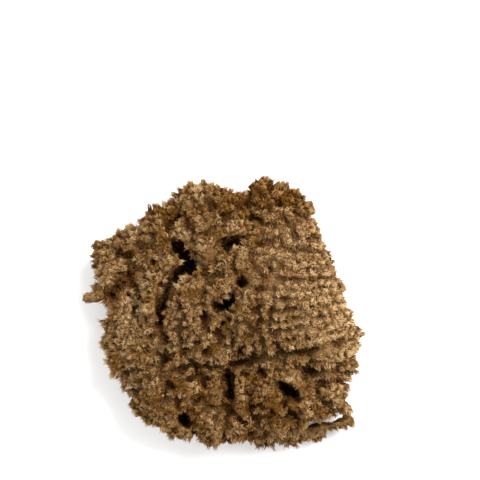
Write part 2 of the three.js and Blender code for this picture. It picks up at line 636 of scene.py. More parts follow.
@dataclass(frozen=True)
class Lookout:
    """A few rays, one straight out and the rest leaning round it, that tell how open a place is."""

    rays: int = 7
    steepness: float = 0.8
    lift: float = 0.3 * MM

    def fan(self) -> list[Vector]:
        """The rays' directions.

        Returns:
            One straight along +Z, and the rest in a ring that leans out.
        """
        ring = [math.tau * i / (self.rays - 1) for i in range(self.rays - 1)]
        leaning = [Vector((math.cos(a), math.sin(a), self.steepness)).normalized() for a in ring]
        return [Vector((0, 0, 1)), *leaning]

    def sky(
        self, tree: BVHTree, places: np.ndarray, normals: np.ndarray, reach: float,
    ) -> np.ndarray:
        """How much of the sky each place sees close by, from 0 when shut in to 1 in the open.

        Args:
            tree: the surface that may stand in the way.
            places: one row of x, y, z a place.
            normals: which way each place faces.
            reach: a surface further off than this doesn't count.

        Returns:
            One number a place.
        """
        fan = self.fan()
        seen = np.empty(len(places))
        for i, (place, normal) in enumerate(zip(places, normals)):
            turn = Vector(normal).to_track_quat("Z", "Y")
            start = Vector(place + normal * self.lift)
            clear = 0.0
            for way in fan:
                gap = tree.ray_cast(start, turn @ way, reach)[3]
                clear += 1.0 if gap is None else gap / reach
            seen[i] = clear / len(fan)
        return seen


LOOKOUT = Lookout()


@dataclass
class Ground:
    """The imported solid's skin, evenly meshed, which everything else grows on."""

    cad: bpy.types.Object
    voxel: float = 1.3 * MM
    sky_reach: float = 18 * MM
    weld: float = 0.002 * MM
    mouth_sky: float = 0.45
    mouth_floor: float = 6 * MM
    mouth_share: float = 0.25
    inset: float = 0.2 * MM
    least_gap: float = 0.01 * MM

    def __post_init__(self) -> None:
        """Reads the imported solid."""
        self.solid = self.merged_copy()
        self.skin = BVHTree.FromBMesh(self.solid)
        self.even = remeshed(cast(self.solid.copy(), "ground"), self.voxel, "even_ground")
        self.places = corners(self.even)
        self.normals = corners(self.even, "normal")
        self.sky = LOOKOUT.sky(self.skin, self.places, self.normals, self.sky_reach)
        self.tree = tree_of(self.places)
        mouths = (self.sky < self.mouth_sky) & (self.places[:, 2] > self.mouth_floor)
        self.mouths = tree_of(self.places[mouths])

    def merged_copy(self) -> bmesh.types.BMesh:
        """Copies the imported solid's own mesh, and joins its loose triangles.

        Returns:
            The copy.
        """
        solid = bmesh.new()
        solid.from_mesh(self.cad.data)
        bmesh.ops.remove_doubles(solid, verts=solid.verts, dist=self.weld)
        bmesh.ops.triangulate(solid, faces=solid.faces)
        solid.normal_update()
        return solid

    def nearest(self, places: np.ndarray) -> np.ndarray:
        """The number of the even mesh's nearest vertex, for each place."""
        return np.array([self.tree.find(place)[1] for place in places])

    def through(self, place: Vector, normal: Vector) -> float:
        """How thick the solid is under a place on its skin, which faces along the normal."""
        gap = self.skin.ray_cast(place - normal * self.inset, -normal)[3]
        return math.inf if gap is None else gap

    def thickness(self) -> np.ndarray:
        """How thick the solid is under each vertex of the even mesh."""
        pairs = zip(self.places, self.normals)
        return np.array([self.through(Vector(place), Vector(normal)) for place, normal in pairs])

    def from_mouths(self, places: np.ndarray, reach: float) -> np.ndarray:
        """Which way leads away from the nearest canal at each place, longer the nearer that is.

        Args:
            places: one row of x, y, z a place.
            reach: a canal further off than this doesn't count.

        Returns:
            One level vector a place, no longer than 1.
        """
        found = [self.mouths.find(place) for place in places]
        gaps = np.array([gap for _, _, gap in found]) / reach
        ways = (places - np.array([spot for spot, _, _ in found])) * LEVEL
        ways /= np.maximum(np.linalg.norm(ways, axis=1, keepdims=True), self.least_gap)
        return ways * (ramp(gaps, 0, self.mouth_share) * np.clip(1 - gaps, 0, 1))[:, None]


@dataclass
class Planting:
    """Where the clumps of the skin stand: in rows on the right, and freely elsewhere."""

    ground: Ground
    spacing: float = 5.5 * MM
    radius: float = 2.15 * MM
    reach: float = 4.6 * MM
    top: float = 0.9 * MM
    slimmest: float = 0.9 * MM
    row_numbers: tuple[int, int] = (-8, 8)
    row_ends: tuple[float, float] = (22.0, 66.0)
    row_stagger: float = 4.0
    row_step: float = 2.5
    row_step_share: tuple[float, float] = (0.75, 1.25)
    row_scale: tuple[float, float] = (0.64, 0.84)
    row_least: float = 0.3
    row_wander: float = 0.25
    row_facing: float = 0.25
    above: float = 80.0
    free_scale: tuple[float, float] = (0.7, 1.3)
    cleft_free: float = 0.45
    pressed_free: float = 2.2 * MM
    pressed_facing: float = 0.3
    base_top: float = 1.5 * MM
    base_facing: float = -0.5
    tries: int = 60000
    seed: int = 7
    knobs: list[Knob] = field(default_factory=list)
    cells: dict[tuple[int, ...], list[Vector]] = field(default_factory=dict)

    def build(self) -> list[Knob]:
        """Stands all the knobs, those in the rows first.

        Returns:
            The knobs.
        """
        chance = np.random.default_rng(self.seed)
        self.plant_rows(chance)
        self.plant_freely(chance)
        return self.knobs

    def plant_rows(self, chance: np.random.Generator) -> None:
        """Stands small knobs close together along each row.

        Args:
            chance: where the random numbers come from.
        """
        down = Vector((0, 0, -1))
        for number in range(*self.row_numbers):
            x = self.row_ends[0] + chance.uniform(0, self.row_stagger)
            while x < self.row_ends[1]:
                y = ROWS.height(number, x) + chance.normal(0, self.row_wander)
                above = Vector((x, y, self.above)) * MM
                place, normal, _, _ = self.ground.skin.ray_cast(above, down)
                scale = chance.uniform(*self.row_scale)
                x += self.row_step * chance.uniform(*self.row_step_share)
                if place is None or normal.z < self.row_facing or self.is_hollow(place, normal):
                    continue
                if ROWS.zone.weight(np.array([place]))[0] > self.row_least:
                    self.stand(place, normal, scale)

    def plant_freely(self, chance: np.random.Generator) -> None:
        """Stands knobs of many sizes over the rest of the skin, wherever one is free to stand.

        Args:
            chance: where the random numbers come from.
        """
        faces = list(self.ground.solid.faces)
        areas = np.array([face.calc_area() for face in faces])
        picks = chance.choice(len(faces), self.tries, p=areas / areas.sum())
        for pick, (u, v) in zip(picks, chance.random((self.tries, 2))):
            face = faces[pick]
            if u + v > 1:
                u, v = 1 - u, 1 - v
            a, b, c = (vertex.co for vertex in face.verts)
            place = a + (b - a) * u + (c - a) * v
            if place.z < self.base_top and face.normal.z < self.base_facing:
                continue
            scale = chance.uniform(*self.free_scale)
            if not self.is_free(place, self.spacing * scale):
                continue
            if not self.is_hollow(place, face.normal):
                self.stand(place, face.normal, scale)

    def cell_of(self, place: Vector) -> tuple[int, ...]:
        """The cell of the search grid that a place is in."""
        return tuple(math.floor(x / self.spacing) for x in place)

    def is_free(self, place: Vector, gap: float) -> bool:
        """Whether no other knob stands too near.

        Args:
            place: where a knob might stand.
            gap: the least distance to the next.

        Returns:
            True when it may stand there.
        """
        x, y, z = self.cell_of(place)
        near = [
            other
            for i in (-1, 0, 1) for j in (-1, 0, 1) for k in (-1, 0, 1)
            for other in self.cells.get((x + i, y + j, z + k), ())
        ]
        return all((other - place).length >= gap for other in near)

    def is_hollow(self, place: Vector, normal: Vector) -> bool:
        """Whether a place is inside a canal, a fold, a pit or a cleft.

        Args:
            place: a place on the skin.
            normal: which way the skin faces there.

        Returns:
            True when no knob may stand there.
        """
        spot = np.array([place])
        near = self.ground.tree.find(place)[1]
        pressed_in = hollowing(spot)[0] if normal.z > self.pressed_facing else 0.0
        in_cleft = CLEFTS.nearness(spot)[0] > self.cleft_free
        shut_in = self.ground.sky[near] < OPEN_SKY
        return bool(shut_in or in_cleft or pressed_in > self.pressed_free)

    def stand(self, place: Vector, normal: Vector, scale: float) -> None:
        """Stands a knob under a place, slimmer where the solid is thin or a canal passes by.

        Args:
            place: a place on the skin.
            normal: which way the skin faces there.
            scale: how big the knob is.
        """
        deep = min(self.reach * scale + self.top, self.ground.through(place, normal) / 2)
        middle = place - normal * deep
        radius = min(self.radius * scale, self.ground.skin.find_nearest(middle)[3])
        if min(radius, deep - self.top) < self.slimmest:
            return
        self.knobs.append(Knob(middle, normal.copy(), radius, deep - self.top))
        self.cells.setdefault(self.cell_of(place), []).append(place)


@dataclass
class Body:
    """The sponge's solid mass: a core, the knobs that stand on it, and the flat cut below."""

    core_depth: float = 5.2 * MM
    core_web: float = 3.6 * MM
    core_least: float = 0.4 * MM
    shut_sky: float = 0.35
    shut_share: float = 0.1
    press_facing: float = 1.6
    fine_voxel: float = 1.08 * MM
    foot_top: float = 0.8 * MM
    foot_facing: float = -0.6
    foot_drop: float = 1.0 * MM
    foot_skin: float = 0.45 * MM
    skin_facing: float = -0.5
    press_from: float = 1.2 * MM
    pore_gap: float = 0.9 * MM
    pore_low: float = 0.7 * MM
    pore_high: float = 2.1 * MM
    pore_depth: float = 6.0 * MM
    pore_dome: float = 1.2
    ball_detail: int = 3
    lump: float = 0.72 * MM
    lump_scale: float = 330.0
    fine_lump: float = 0.36 * MM
    fine_lump_scale: float = 760.0
    seed: int = 8

    def build(self, ground: Ground) -> bpy.types.Object:
        """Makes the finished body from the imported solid.

        Args:
            ground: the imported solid's skin.

        Returns:
            The body as an object at the origin.
        """
        core = self.core(ground)
        knobs = Planting(ground).build()
        log.info("%d knobs", len(knobs))
        return self.fused(core, knobs, self.pores(ground))

    def core(self, ground: Ground) -> bpy.types.Mesh:
        """The solid drawn in under its skin, by less inside the canals, and pressed in at folds.

        Args:
            ground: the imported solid's skin.

        Returns:
            The ground's even mesh, with its vertices moved.
        """
        places, normals = ground.places, ground.normals
        open_share = (ground.sky - self.shut_sky) / (OPEN_SKY - self.shut_sky)
        depth = self.core_depth * np.clip(open_share, self.shut_share, 1)
        depth += CLEFTS.depth * CLEFTS.nearness(places)
        spare = np.maximum(ground.thickness() - self.core_web, self.core_least)
        drawn = places - normals * np.minimum(depth, spare / 2)[:, None]
        drawn[:, 2] -= hollowing(places) * np.clip(normals[:, 2] * self.press_facing, 0, 1)
        foot = self.on_foot(ground)
        drawn[foot] = places[foot] - (0, 0, self.foot_drop)
        move(ground.even, drawn)
        return ground.even

    def on_foot(self, ground: Ground) -> np.ndarray:
        """Which of the ground's places lie on the trimmed foot."""
        low = ground.places[:, 2] < self.foot_top
        return low & (ground.normals[:, 2] < self.foot_facing)

    def pores(self, ground: Ground) -> np.ndarray:
        """Where the cut laid pores open.

        Args:
            ground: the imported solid's skin.

        Returns:
            A row of x, y and radius for each pore, none of which touch.
        """
        chance = np.random.default_rng(self.seed)
        spots = chance.permutation(ground.places[self.on_foot(ground)][:, :2])
        kept = np.empty((0, 3))
        for spot in spots:
            radius = self.pore_low + (self.pore_high - self.pore_low) * chance.random() ** 2
            away = np.linalg.norm(kept[:, :2] - spot, axis=1) - kept[:, 2] - radius
            if away.min(initial=np.inf) > self.pore_gap:
                kept = np.vstack([kept, (*spot, radius)])
        return kept

    def fused(
        self, core: bpy.types.Mesh, knobs: list[Knob], pores: np.ndarray,
    ) -> bpy.types.Object:
        """The core and its knobs as one closed skin, flat and porous underneath.

        Args:
            core: the drawn-in solid.
            knobs: the knobs that stand on it.
            pores: x, y and radius of each pore of the cut.

        Returns:
            The body as an object at the origin.
        """
        whole = bmesh.new()
        whole.from_mesh(core)
        balls = self.knob_mesh(knobs)
        whole.from_mesh(balls)
        bpy.data.meshes.remove(balls)
        fused = remeshed(cast(whole, "rough_body"), self.fine_voxel, "sponge_body")
        self.make_lumpy(fused)
        self.settle(fused, pores)
        return show("sponge_body", fused)

    def knob_mesh(self, knobs: list[Knob]) -> bpy.types.Mesh:
        """All the knobs as one mesh of balls, drawn out and turned.

        Args:
            knobs: where the balls go.

        Returns:
            The mesh.
        """
        spots = bmesh.new()
        for knob in knobs:
            spots.verts.new(knob.place)
        mesh = cast(spots, "knob_spots")
        write(mesh, Trait.AXIS, np.array([knob.axis for knob in knobs]))
        write(mesh, Trait.SIZE, np.array([(k.radius, k.radius, k.reach) for k in knobs]))
        holder = show("knob_spots", mesh)
        graph = Graph("set_knobs")
        ball = graph.node(
            "GeometryNodeMeshIcoSphere", {"Radius": 1.0, "Subdivisions": self.ball_detail},
        )
        graph.feed(graph.sink, graph.planted({
            "Points": graph.source,
            "Instance": graph.out(ball, "Mesh"),
            "Rotation": graph.aimed(graph.named(Trait.AXIS, "FLOAT_VECTOR")),
            "Scale": graph.named(Trait.SIZE, "FLOAT_VECTOR"),
        }))
        balls = graph.applied(holder, "knobs")
        remove(holder)
        return balls

    def make_lumpy(self, mesh: bpy.types.Mesh) -> None:
        """Swells and sinks the skin by a fine noise, so that no knob is a plain ball.

        Args:
            mesh: the fused skin.
        """
        places, normals = corners(mesh), corners(mesh, "normal")
        swell = drift(places, self.lump_scale) * self.lump
        swell += drift(places, self.fine_lump_scale) * self.fine_lump
        move(mesh, places + normals * swell[:, None])

    def settle(self, mesh: bpy.types.Mesh, pores: np.ndarray) -> None:
        """Presses the underside level, just clear of the floor, and its pores up into it.

        Args:
            mesh: the fused skin.
            pores: x, y and radius of each pore.
        """
        places, normals = corners(mesh), corners(mesh, "normal")
        places[:, 2] = pressed(places[:, 2], self.press_from)
        low = (places[:, 2] < self.foot_skin) & (normals[:, 2] < self.skin_facing)
        away = np.linalg.norm(places[low, None, :2] - pores[None, :, :2], axis=2) / pores[:, 2]
        nearest, widths = away.min(1), pores[away.argmin(1), 2]
        rise = self.pore_depth * (self.pore_dome - nearest**2) * widths / self.pore_high
        places[low, 2] += np.where(nearest < 1, rise, 0)
        move(mesh, places)


@dataclass(frozen=True)
class Comb:
    """A zone whose fibres lean one way, as if combed."""

    zone: Zone
    towards: tuple[float, float, float]


@dataclass
class Coat:
    """How the fibres lie on the body, how long they are and how light, from place to place, their
    tint holding painted light and shade besides their own tone.
    """

    ray_reach: float = 8 * MM
    crest: float = 1.6 * MM
    crevice: float = 6.4 * MM
    close_range: tuple[float, float] = (0.3, 0.9)
    sky_range: tuple[float, float] = (0.3, 0.8)
    sunk_openness: float = 0.15
    shut_length: float = 0.3
    grown_range: tuple[float, float] = (0.1, 0.55)
    lining: float = 0.45
    crest_range: tuple[float, float] = (0.42, 0.62)
    least_crest: float = 0.12
    cut_below: float = 0.6 * MM
    cut_facing: float = -0.3
    under_below: float = 1.2 * MM
    under_facing: float = -0.8
    plain_tint: float = 0.5
    upright: float = 0.9
    patch_scale: float = 110.0
    patch_tint: float = 0.42
    outward_lean: float = 0.3
    outward_from: float = 62 * MM
    mouth_lean: float = 1.6
    mouth_reach: float = 6 * MM
    fold_lean: float = 0.35
    fold_step: float = 1 * MM
    furrow_thin: float = 0.25
    furrow_short: float = 0.45
    furrow_crest: float = 0.9
    # how much darker the furrows and clefts are painted, as shade
    furrow_shade: float = 0.42
    side_length: float = 1.0
    combs: tuple[Comb, ...] = (
        Comb(Zone((52, 5), (22, 42), 0.75), (1.0, 0.10, -0.1)),
        Comb(Zone((20, 60), (30, 11), 1.1), (0.9, -0.1, 0.0)),
        Comb(Zone((42, -56), (26, 9), 1.3), (1.0, 0.25, 0.0)),
        Comb(Zone((0, -62), (60, 12), 0.5), (0.0, -1.0, 0.1)),
    )
    # tint zones: partly the sponge's own tone, partly painted light, lighter towards the right and
    # darker at the top rim and lower down
    tints_and_light: tuple[Zone, ...] = (
        Zone((60, -2), (15, 42), 0.34),
        Zone((42, 12), (26, 34), 0.3),
        Zone((44, 42), (16, 12), 0.28),
        Zone((20, 61), (23, 11), -0.62),
        Zone((-32, 48), (9, 8), -0.35),
        Zone((-46, 8), (18, 40), 0.12),
        Zone((5, -40), (30, 13), -0.18),
        Zone((32, -38), (18, 11), -0.14),
        Zone((0, -58), (50, 9), -0.02),
    )
    lengths: tuple[Zone, ...] = (
        Zone((46, -55), (18, 8), 0.3),
        Zone((49.3, -56.3), (14, 3.4), -1.3, 17),
        Zone((54, -61.4), (12, 2.8), -1.2, 1),
        Zone((62, 0), (10, 40), 0.25),
        Zone((18, 60), (30, 9), 0.2),
        Zone((-68, 8.5), (7, 7), -1.1),
    )

    def dress(self, body: bpy.types.Object, ground: Ground) -> None:
        """Writes each trait of the coat on the body's vertices.

        Args:
            body: the finished body, at the origin.
            ground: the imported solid's skin.
        """
        mesh = body.data
        places, normals = corners(mesh), corners(mesh, "normal")
        near = ground.nearest(places)
        outward = ground.normals[near]
        furrow = np.maximum(ROWS.furrow(places), CLEFTS.nearness(places))
        openness = self.openness(mesh, places, normals, ground)
        tint = self.plain_tint + self.total(self.tints_and_light, places)
        # painted shade: the tint is darker in the furrows between the rows and in the clefts
        tint += drift(places, self.patch_scale) * self.patch_tint - furrow * self.furrow_shade
        length = 1 + self.total(self.lengths, places)
        length += (1 - np.abs(outward[:, 2])) * self.side_length
        length *= self.shut_length + (1 - self.shut_length) * openness
        cut = (places[:, 2] < self.cut_below) & (normals[:, 2] < self.cut_facing)
        under = (places[:, 2] < self.under_below) | (normals[:, 2] < self.under_facing)
        grown = np.maximum(ramp(openness, *self.grown_range), self.lining)
        grown *= 1 - furrow * self.furrow_thin
        crest = np.maximum(ramp(openness, *self.crest_range), self.least_crest)
        crest *= 1 - furrow * self.furrow_crest
        lean = self.lean(places) + outward * self.upright
        lean += ground.from_mouths(places, self.mouth_reach) * self.mouth_lean
        lean -= self.steepness(places) * self.fold_lean
        write(mesh, Trait.OPENNESS, openness)
        write(mesh, Trait.TINT, np.clip(tint, 0, 1))
        write(mesh, Trait.LENGTH, length * (1 - furrow * self.furrow_short))
        write(mesh, Trait.CUT, cut.astype(float))
        write(mesh, Trait.DENSITY, np.where(under, 0.0, grown))
        write(mesh, Trait.CREST, np.where(under, 0.0, crest))
        write(mesh, Trait.LEAN, lean)

    def openness(
        self, mesh: bpy.types.Mesh, places: np.ndarray, normals: np.ndarray, ground: Ground,
    ) -> np.ndarray:
        """How open each of the body's vertices is, among the knobs and in the whole.

        Args:
            mesh: the body's mesh.
            places: its vertices.
            normals: which way they face.
            ground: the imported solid's skin.

        Returns:
            One number a vertex, from 0 when shut in or sunk deep to 1 on an open crest.
        """
        near = ground.nearest(places)
        tree = BVHTree.FromPolygons(places.tolist(), [p.vertices[:] for p in mesh.polygons])
        close = LOOKOUT.sky(tree, places, normals, self.ray_reach)
        sunk = ((ground.places[near] - places) * ground.normals[near]).sum(1)
        proud = 1 - ramp(sunk, self.crest, self.crevice)
        openness = ramp(close, *self.close_range) * ramp(ground.sky[near], *self.sky_range)
        return openness * (self.sunk_openness + (1 - self.sunk_openness) * proud)

    def total(self, zones: tuple[Zone, ...], places: np.ndarray) -> np.ndarray:
        """The sum of all the zones at each place."""
        return sum(zone.weight(places) for zone in zones)

    def steepness(self, places: np.ndarray) -> np.ndarray:
        """Which way leads down into a fold or a pit.

        Args:
            places: one row of x, y, z a place, in metres.

        Returns:
            One row a place, longer the steeper it is there.
        """
        down = np.zeros_like(places)
        for axis in (0, 1):
            step = np.zeros(3)
            step[axis] = self.fold_step
            rise = hollowing(places + step) - hollowing(places - step)
            down[:, axis] = rise / (2 * self.fold_step)
        return down

    def lean(self, places: np.ndarray) -> np.ndarray:
        """Which way the fibres lean.

        Args:
            places: one row of x, y, z a place, in metres.

        Returns:
            One row a place, longer where they lean more.
        """
        away = places * LEVEL
        far = np.linalg.norm(away, axis=1, keepdims=True) / self.outward_from
        lean = away / self.outward_from * far * self.outward_lean
        for comb in self.combs:
            lean += comb.zone.weight(places)[:, None] * np.array(comb.towards)
        return lean


@dataclass(frozen=True)
class Strand:
    """One curly fibre end, which stands on the origin and grows along +Z."""

    length: float = 2.5 * MM
    root_radius: float = 0.30 * MM
    tip_share: float = 0.68
    tip_from: float = 0.99
    sides: int = 3
    joints: int = 2
    bow: float = 0.8 * MM
    curl: float = 0.35 * MM
    waves: float = 1.3
    turn: float = 0.0
    side_turn: float = 0.5

    def build(self, name: str) -> bpy.types.Object:
        """Makes the strand as an object that is in no collection.

        Args:
            name: the object's name.

        Returns:
            The strand.
        """
        strand = bmesh.new()
        bmesh.ops.create_cone(
            strand, cap_ends=True, cap_tris=False, segments=self.sides, depth=self.length,
            radius1=self.root_radius, radius2=self.root_radius * self.tip_share,
        )
        half = self.length / 2
        bmesh.ops.translate(strand, verts=strand.verts, vec=(0, 0, half))
        upright = [e for e in strand.edges if abs(e.verts[0].co.z - e.verts[1].co.z) > half]
        bmesh.ops.subdivide_edges(strand, edges=upright, cuts=self.joints - 1, use_grid_fill=True)
        tip = [v for v in strand.verts if v.co.z > self.length * self.tip_from]
        bmesh.ops.pointmerge(strand, verts=tip, merge_co=(0, 0, self.length))
        self.bend(strand)
        bmesh.ops.triangulate(strand, faces=strand.faces)
        return bpy.data.objects.new(name, cast(strand, name))

    def bend(self, strand: bmesh.types.BMesh) -> None:
        """Bows and curls the straight strand, and marks its vertices' height and side.

        Args:
            strand: the straight strand.
        """
        rise = strand.verts.layers.float.new(Trait.RISE.value)
        side = strand.verts.layers.float.new(Trait.SIDE.value)
        for v in strand.verts:
            share = v.co.z / self.length
            round_it = math.atan2(v.co.y, v.co.x) - self.side_turn
            v[rise] = share
            v[side] = round(math.sin(round_it), 1) if share < 1 else 0.0
            bend = self.bow * share**2
            wave = self.curl * math.sin(self.waves * math.tau * share)
            v.co.x += bend * math.cos(self.turn) - wave * math.sin(self.turn)
            v.co.y += bend * math.sin(self.turn) + wave * math.cos(self.turn)


@dataclass(frozen=True)
class Region:
    """One piece of the fleece, which clothes what is nearest its middle, in millimetres."""

    name: str
    middle: tuple[float, float]


@dataclass
class Fleece:
    """The fibre ends that clothe the whole sponge, in a few pieces side by side."""

    regions: tuple[Region, ...] = (
        Region("fleece_crown", (8, 8)),
        Region("fleece_right", (48, 0)),
        Region("fleece_upper", (8, 50)),
        Region("fleece_left", (-44, 12)),
        Region("fleece_lower", (-18, -46)),
        Region("fleece_tail", (34, -48)),
    )
    per_square_metre: float = 1.65e6
    skin_share: float = 0.6
    spread: float = 0.9 * MM
    longest: float = 3.4 * MM
    length_share: tuple[float, float] = (0.7, 1.15)
    width_share: tuple[float, float] = (0.75, 1.25)
    bows: tuple[float, float] = (0.3, 1.6)
    curls: tuple[float, float] = (0.2, 0.7)
    tuft_gap: float = 2.2 * MM
    tufts_per_square_metre: float = 6e5
    tuft_spread: float = 0.6
    tuft_low: float = 1.0 * MM
    tuft_high: float = 2.7 * MM
    tuft_tint: float = 0.19
    ruffle: float = 2.2 * MM
    ruffle_scale: float = 420.0
    tint_spread: float = 0.34
    side_step: float = 0.004
    shade_power: float = 2.4
    least_lit: float = 0.25
    squash_below: float = 1.5 * MM
    foot_per_square_metre: float = 5e5
    foot_lowest: tuple[float, float, float] = (-1, -1, -0.16)
    foot_highest: tuple[float, float, float] = (1, 1, 0.04)
    foot_length: tuple[float, float] = (0.8, 1.5)
    foot_tint_spread: float = 0.68
    foot_squash: float = 0.35 * MM
    kinds: int = 8
    seed: int = 11

    def build(self, body: bpy.types.Object) -> list[bpy.types.Object]:
        """Grows the fleece on the body.

        Args:
            body: the body, with the coat's traits on its vertices.

        Returns:
            One object for each region, and the foot's.
        """
        self.mark_regions(body.data)
        strands = self.strand_kinds()
        tufts = show("tufts", self.sowing().applied(body, "tufts"))
        log.info("%d tufts", len(tufts.data.vertices))
        made = []
        for number, region in enumerate(self.regions):
            holder = show("seedbed", body.data.copy())
            mesh = self.growing(number, strands, tufts).applied(holder, region.name)
            remove(holder)
            made.append(show(region.name, mesh))
        made.append(show("fleece_foot", self.laying(strands).applied(body, "fleece_foot")))
        for helper in [tufts, *strands.objects]:
            remove(helper)
        bpy.data.collections.remove(strands)
        return made

    def mark_regions(self, mesh: bpy.types.Mesh) -> None:
        """Gives each vertex the number of the region whose middle is nearest in plan.

        Args:
            mesh: the body's mesh.
        """
        places = corners(mesh)[:, :2] / MM
        middles = np.array([region.middle for region in self.regions])
        away = np.linalg.norm(places[:, None] - middles[None], axis=2)
        layer = mesh.attributes.new(Trait.REGION.value, "INT", "POINT")
        layer.data.foreach_set("value", away.argmin(1).astype(np.int32))

    def strand_kinds(self) -> bpy.types.Collection:
        """Makes a few strands that differ in bow and curl.

        Returns:
            A collection that holds them, which is in no scene.
        """
        chance = np.random.default_rng(self.seed)
        kinds = bpy.data.collections.new("strands")
        for i in range(self.kinds):
            strand = Strand(
                bow=chance.uniform(*self.bows) * MM,
                curl=chance.uniform(*self.curls) * MM,
                turn=chance.uniform(0, math.tau),
            )
            kinds.objects.link(strand.build(f"strand_{i}"))
        return kinds

    def sowing(self) -> Graph:
        """Makes the group that sows the tufts.

        Returns:
            The group, which gives loose points that each know where their tuft's tip is.
        """
        g = Graph("sow_tufts")
        sown = g.sown({
            "Distance Min": self.tuft_gap,
            "Density Max": self.tufts_per_square_metre,
            "Density Factor": g.named(Trait.CREST),
            "Seed": self.seed,
        }, distribute_method="POISSON")
        wild = g.vectors("SCALE", g.any_way(), self.tuft_spread)
        skin = g.vectors("SCALE", g.out(sown, "Normal"), self.skin_share)
        way = g.vectors("ADD", skin, g.vectors("ADD", g.named(Trait.LEAN, "FLOAT_VECTOR"), wild))
        tall = g.chance(self.tuft_low, self.tuft_high, Draw.TUFT_HEIGHT)
        height = g.maths("MULTIPLY", g.named(Trait.LENGTH), tall)
        tip = g.vectors("ADD", g.here(), g.vectors("SCALE", g.vectors("NORMALIZE", way), height))
        points = g.stored(g.out(sown, "Points"), Trait.TIP.value, tip, "FLOAT_VECTOR")
        own = g.chance(-self.tuft_tint, self.tuft_tint, Draw.TUFT_TINT)
        tint = g.maths("ADD", g.named(Trait.TINT), own)
        points = g.stored(points, Trait.TINT.value, tint)
        loose = g.node("GeometryNodePointsToVertices", {"Points": points})
        g.feed(g.sink, g.out(loose, "Mesh"))
        return g

    def growing(
        self, number: int, strands: bpy.types.Collection, tufts: bpy.types.Object,
    ) -> Graph:
        """Makes the group that clothes one region, each strand aimed at its tuft's tip.

        Args:
            number: the region.
            strands: the kinds of strand to pick from.
            tufts: the loose points that mark the tufts.

        Returns:
            The group.
        """
        g = Graph("grow_fleece")
        in_region = g.node(
            "FunctionNodeCompare", {"A": g.named(Trait.REGION, "INT"), "B": number},
            data_type="INT", operation="EQUAL",
        )
        sown = g.sown({
            "Selection": g.out(in_region, "Result"),
            "Density": g.maths("MULTIPLY", g.named(Trait.DENSITY), self.per_square_metre),
            "Seed": self.seed + number,
        })
        cloud = g.out(g.node("GeometryNodeObjectInfo", {"Object": tufts}), "Geometry")
        own = g.chance(-self.tint_spread, self.tint_spread, Draw.TINT)
        tint = g.maths("ADD", self.of_tuft(g, cloud, Trait.TINT, "FLOAT"), own)
        seeds = g.stored(g.out(sown, "Points"), Trait.TINT.value, tint)
        tip = self.of_tuft(g, cloud, Trait.TIP, "FLOAT_VECTOR")
        wild = g.vectors("SCALE", g.any_way(), self.spread)
        way = g.vectors("ADD", g.vectors("SUBTRACT", tip, g.here()), wild)
        far = g.out(g.node("ShaderNodeVectorMath", {"Vector": way}, operation="LENGTH"), "Value")
        far = g.maths("MINIMUM", far, g.maths("MULTIPLY", g.named(Trait.LENGTH), self.longest))
        own = g.chance(*self.length_share, Draw.LENGTH)
        length = g.maths("MULTIPLY", g.maths("DIVIDE", far, Strand.length), own)
        self.stand(g, seeds, strands, way, length, self.squash_below)
        return g

    def of_tuft(
        self, g: Graph, cloud: bpy.types.NodeSocket, trait: Trait, kind: str,
    ) -> bpy.types.NodeSocket:
        """Reads a trait of the tuft that is nearest.

        Args:
            g: the group.
            cloud: the tufts' loose points.
            trait: which trait.
            kind: the trait's type.

        Returns:
            The output that holds it.
        """
        nearest = g.node("GeometryNodeSampleNearest", {"Geometry": cloud}, domain="POINT")
        found = g.node("GeometryNodeSampleIndex", {
            "Geometry": cloud, "Value": g.named(trait, kind), "Index": g.out(nearest, "Index"),
        }, data_type=kind)
        return g.out(found, "Value")

    def laying(self, strands: bpy.types.Collection) -> Graph:
        """Makes the group that lays loose fibres flat against the trimmed cut.

        Args:
            strands: the kinds of strand to pick from.

        Returns:
            The group.
        """
        g = Graph("lay_foot")
        sown = g.sown({
            "Density": g.maths("MULTIPLY", g.named(Trait.CUT), self.foot_per_square_metre),
            "Seed": self.seed,
        })
        own = g.chance(-self.foot_tint_spread, self.foot_tint_spread, Draw.TINT)
        tint = g.maths("ADD", g.named(Trait.TINT), own)
        seeds = g.stored(g.out(sown, "Points"), Trait.TINT.value, tint)
        way = g.chance(self.foot_lowest, self.foot_highest, Draw.WAY, "FLOAT_VECTOR")
        length = g.chance(*self.foot_length, Draw.LENGTH)
        self.stand(g, seeds, strands, way, length, self.foot_squash)
        return g

    def stand(
        self, g: Graph, seeds: bpy.types.NodeSocket, strands: bpy.types.Collection,
        way: bpy.types.NodeSocket, length: bpy.types.NodeSocket, squash: float,
    ) -> None:
        """Stands a strand on each seed, and finishes the group.

        Args:
            g: the group.
            seeds: the points to stand the strands on.
            strands: the kinds of strand to pick from.
            way: which way each strand points.
            length: how long each strand is, against its own length.
            squash: strands are pressed level from this height down.
        """
        angle = g.chance(0.0, math.tau, Draw.SPIN)
        spin = g.node("FunctionNodeAxisAngleToRotation", {"Axis": (0, 0, 1), "Angle": angle})
        turned = g.node("FunctionNodeRotateRotation", {
            "Rotation": g.aimed(way), "Rotate By": g.out(spin, "Rotation"),
        }, rotation_space="LOCAL")
        width = g.chance(*self.width_share, Draw.WIDTH)
        size = g.node("ShaderNodeCombineXYZ", {"X": width, "Y": width, "Z": length})
        kinds = g.node("GeometryNodeCollectionInfo", {
            "Collection": strands, "Separate Children": True, "Reset Children": True,
        })
        self.finish(g, g.planted({
            "Points": seeds,
            "Instance": g.out(kinds, "Instances"),
            "Pick Instance": True,
            "Instance Index": g.chance(0, self.kinds - 1, Draw.KIND, "INT"),
            "Rotation": g.out(turned, "Rotation"),
            "Scale": g.out(size, "Vector"),
        }), squash)

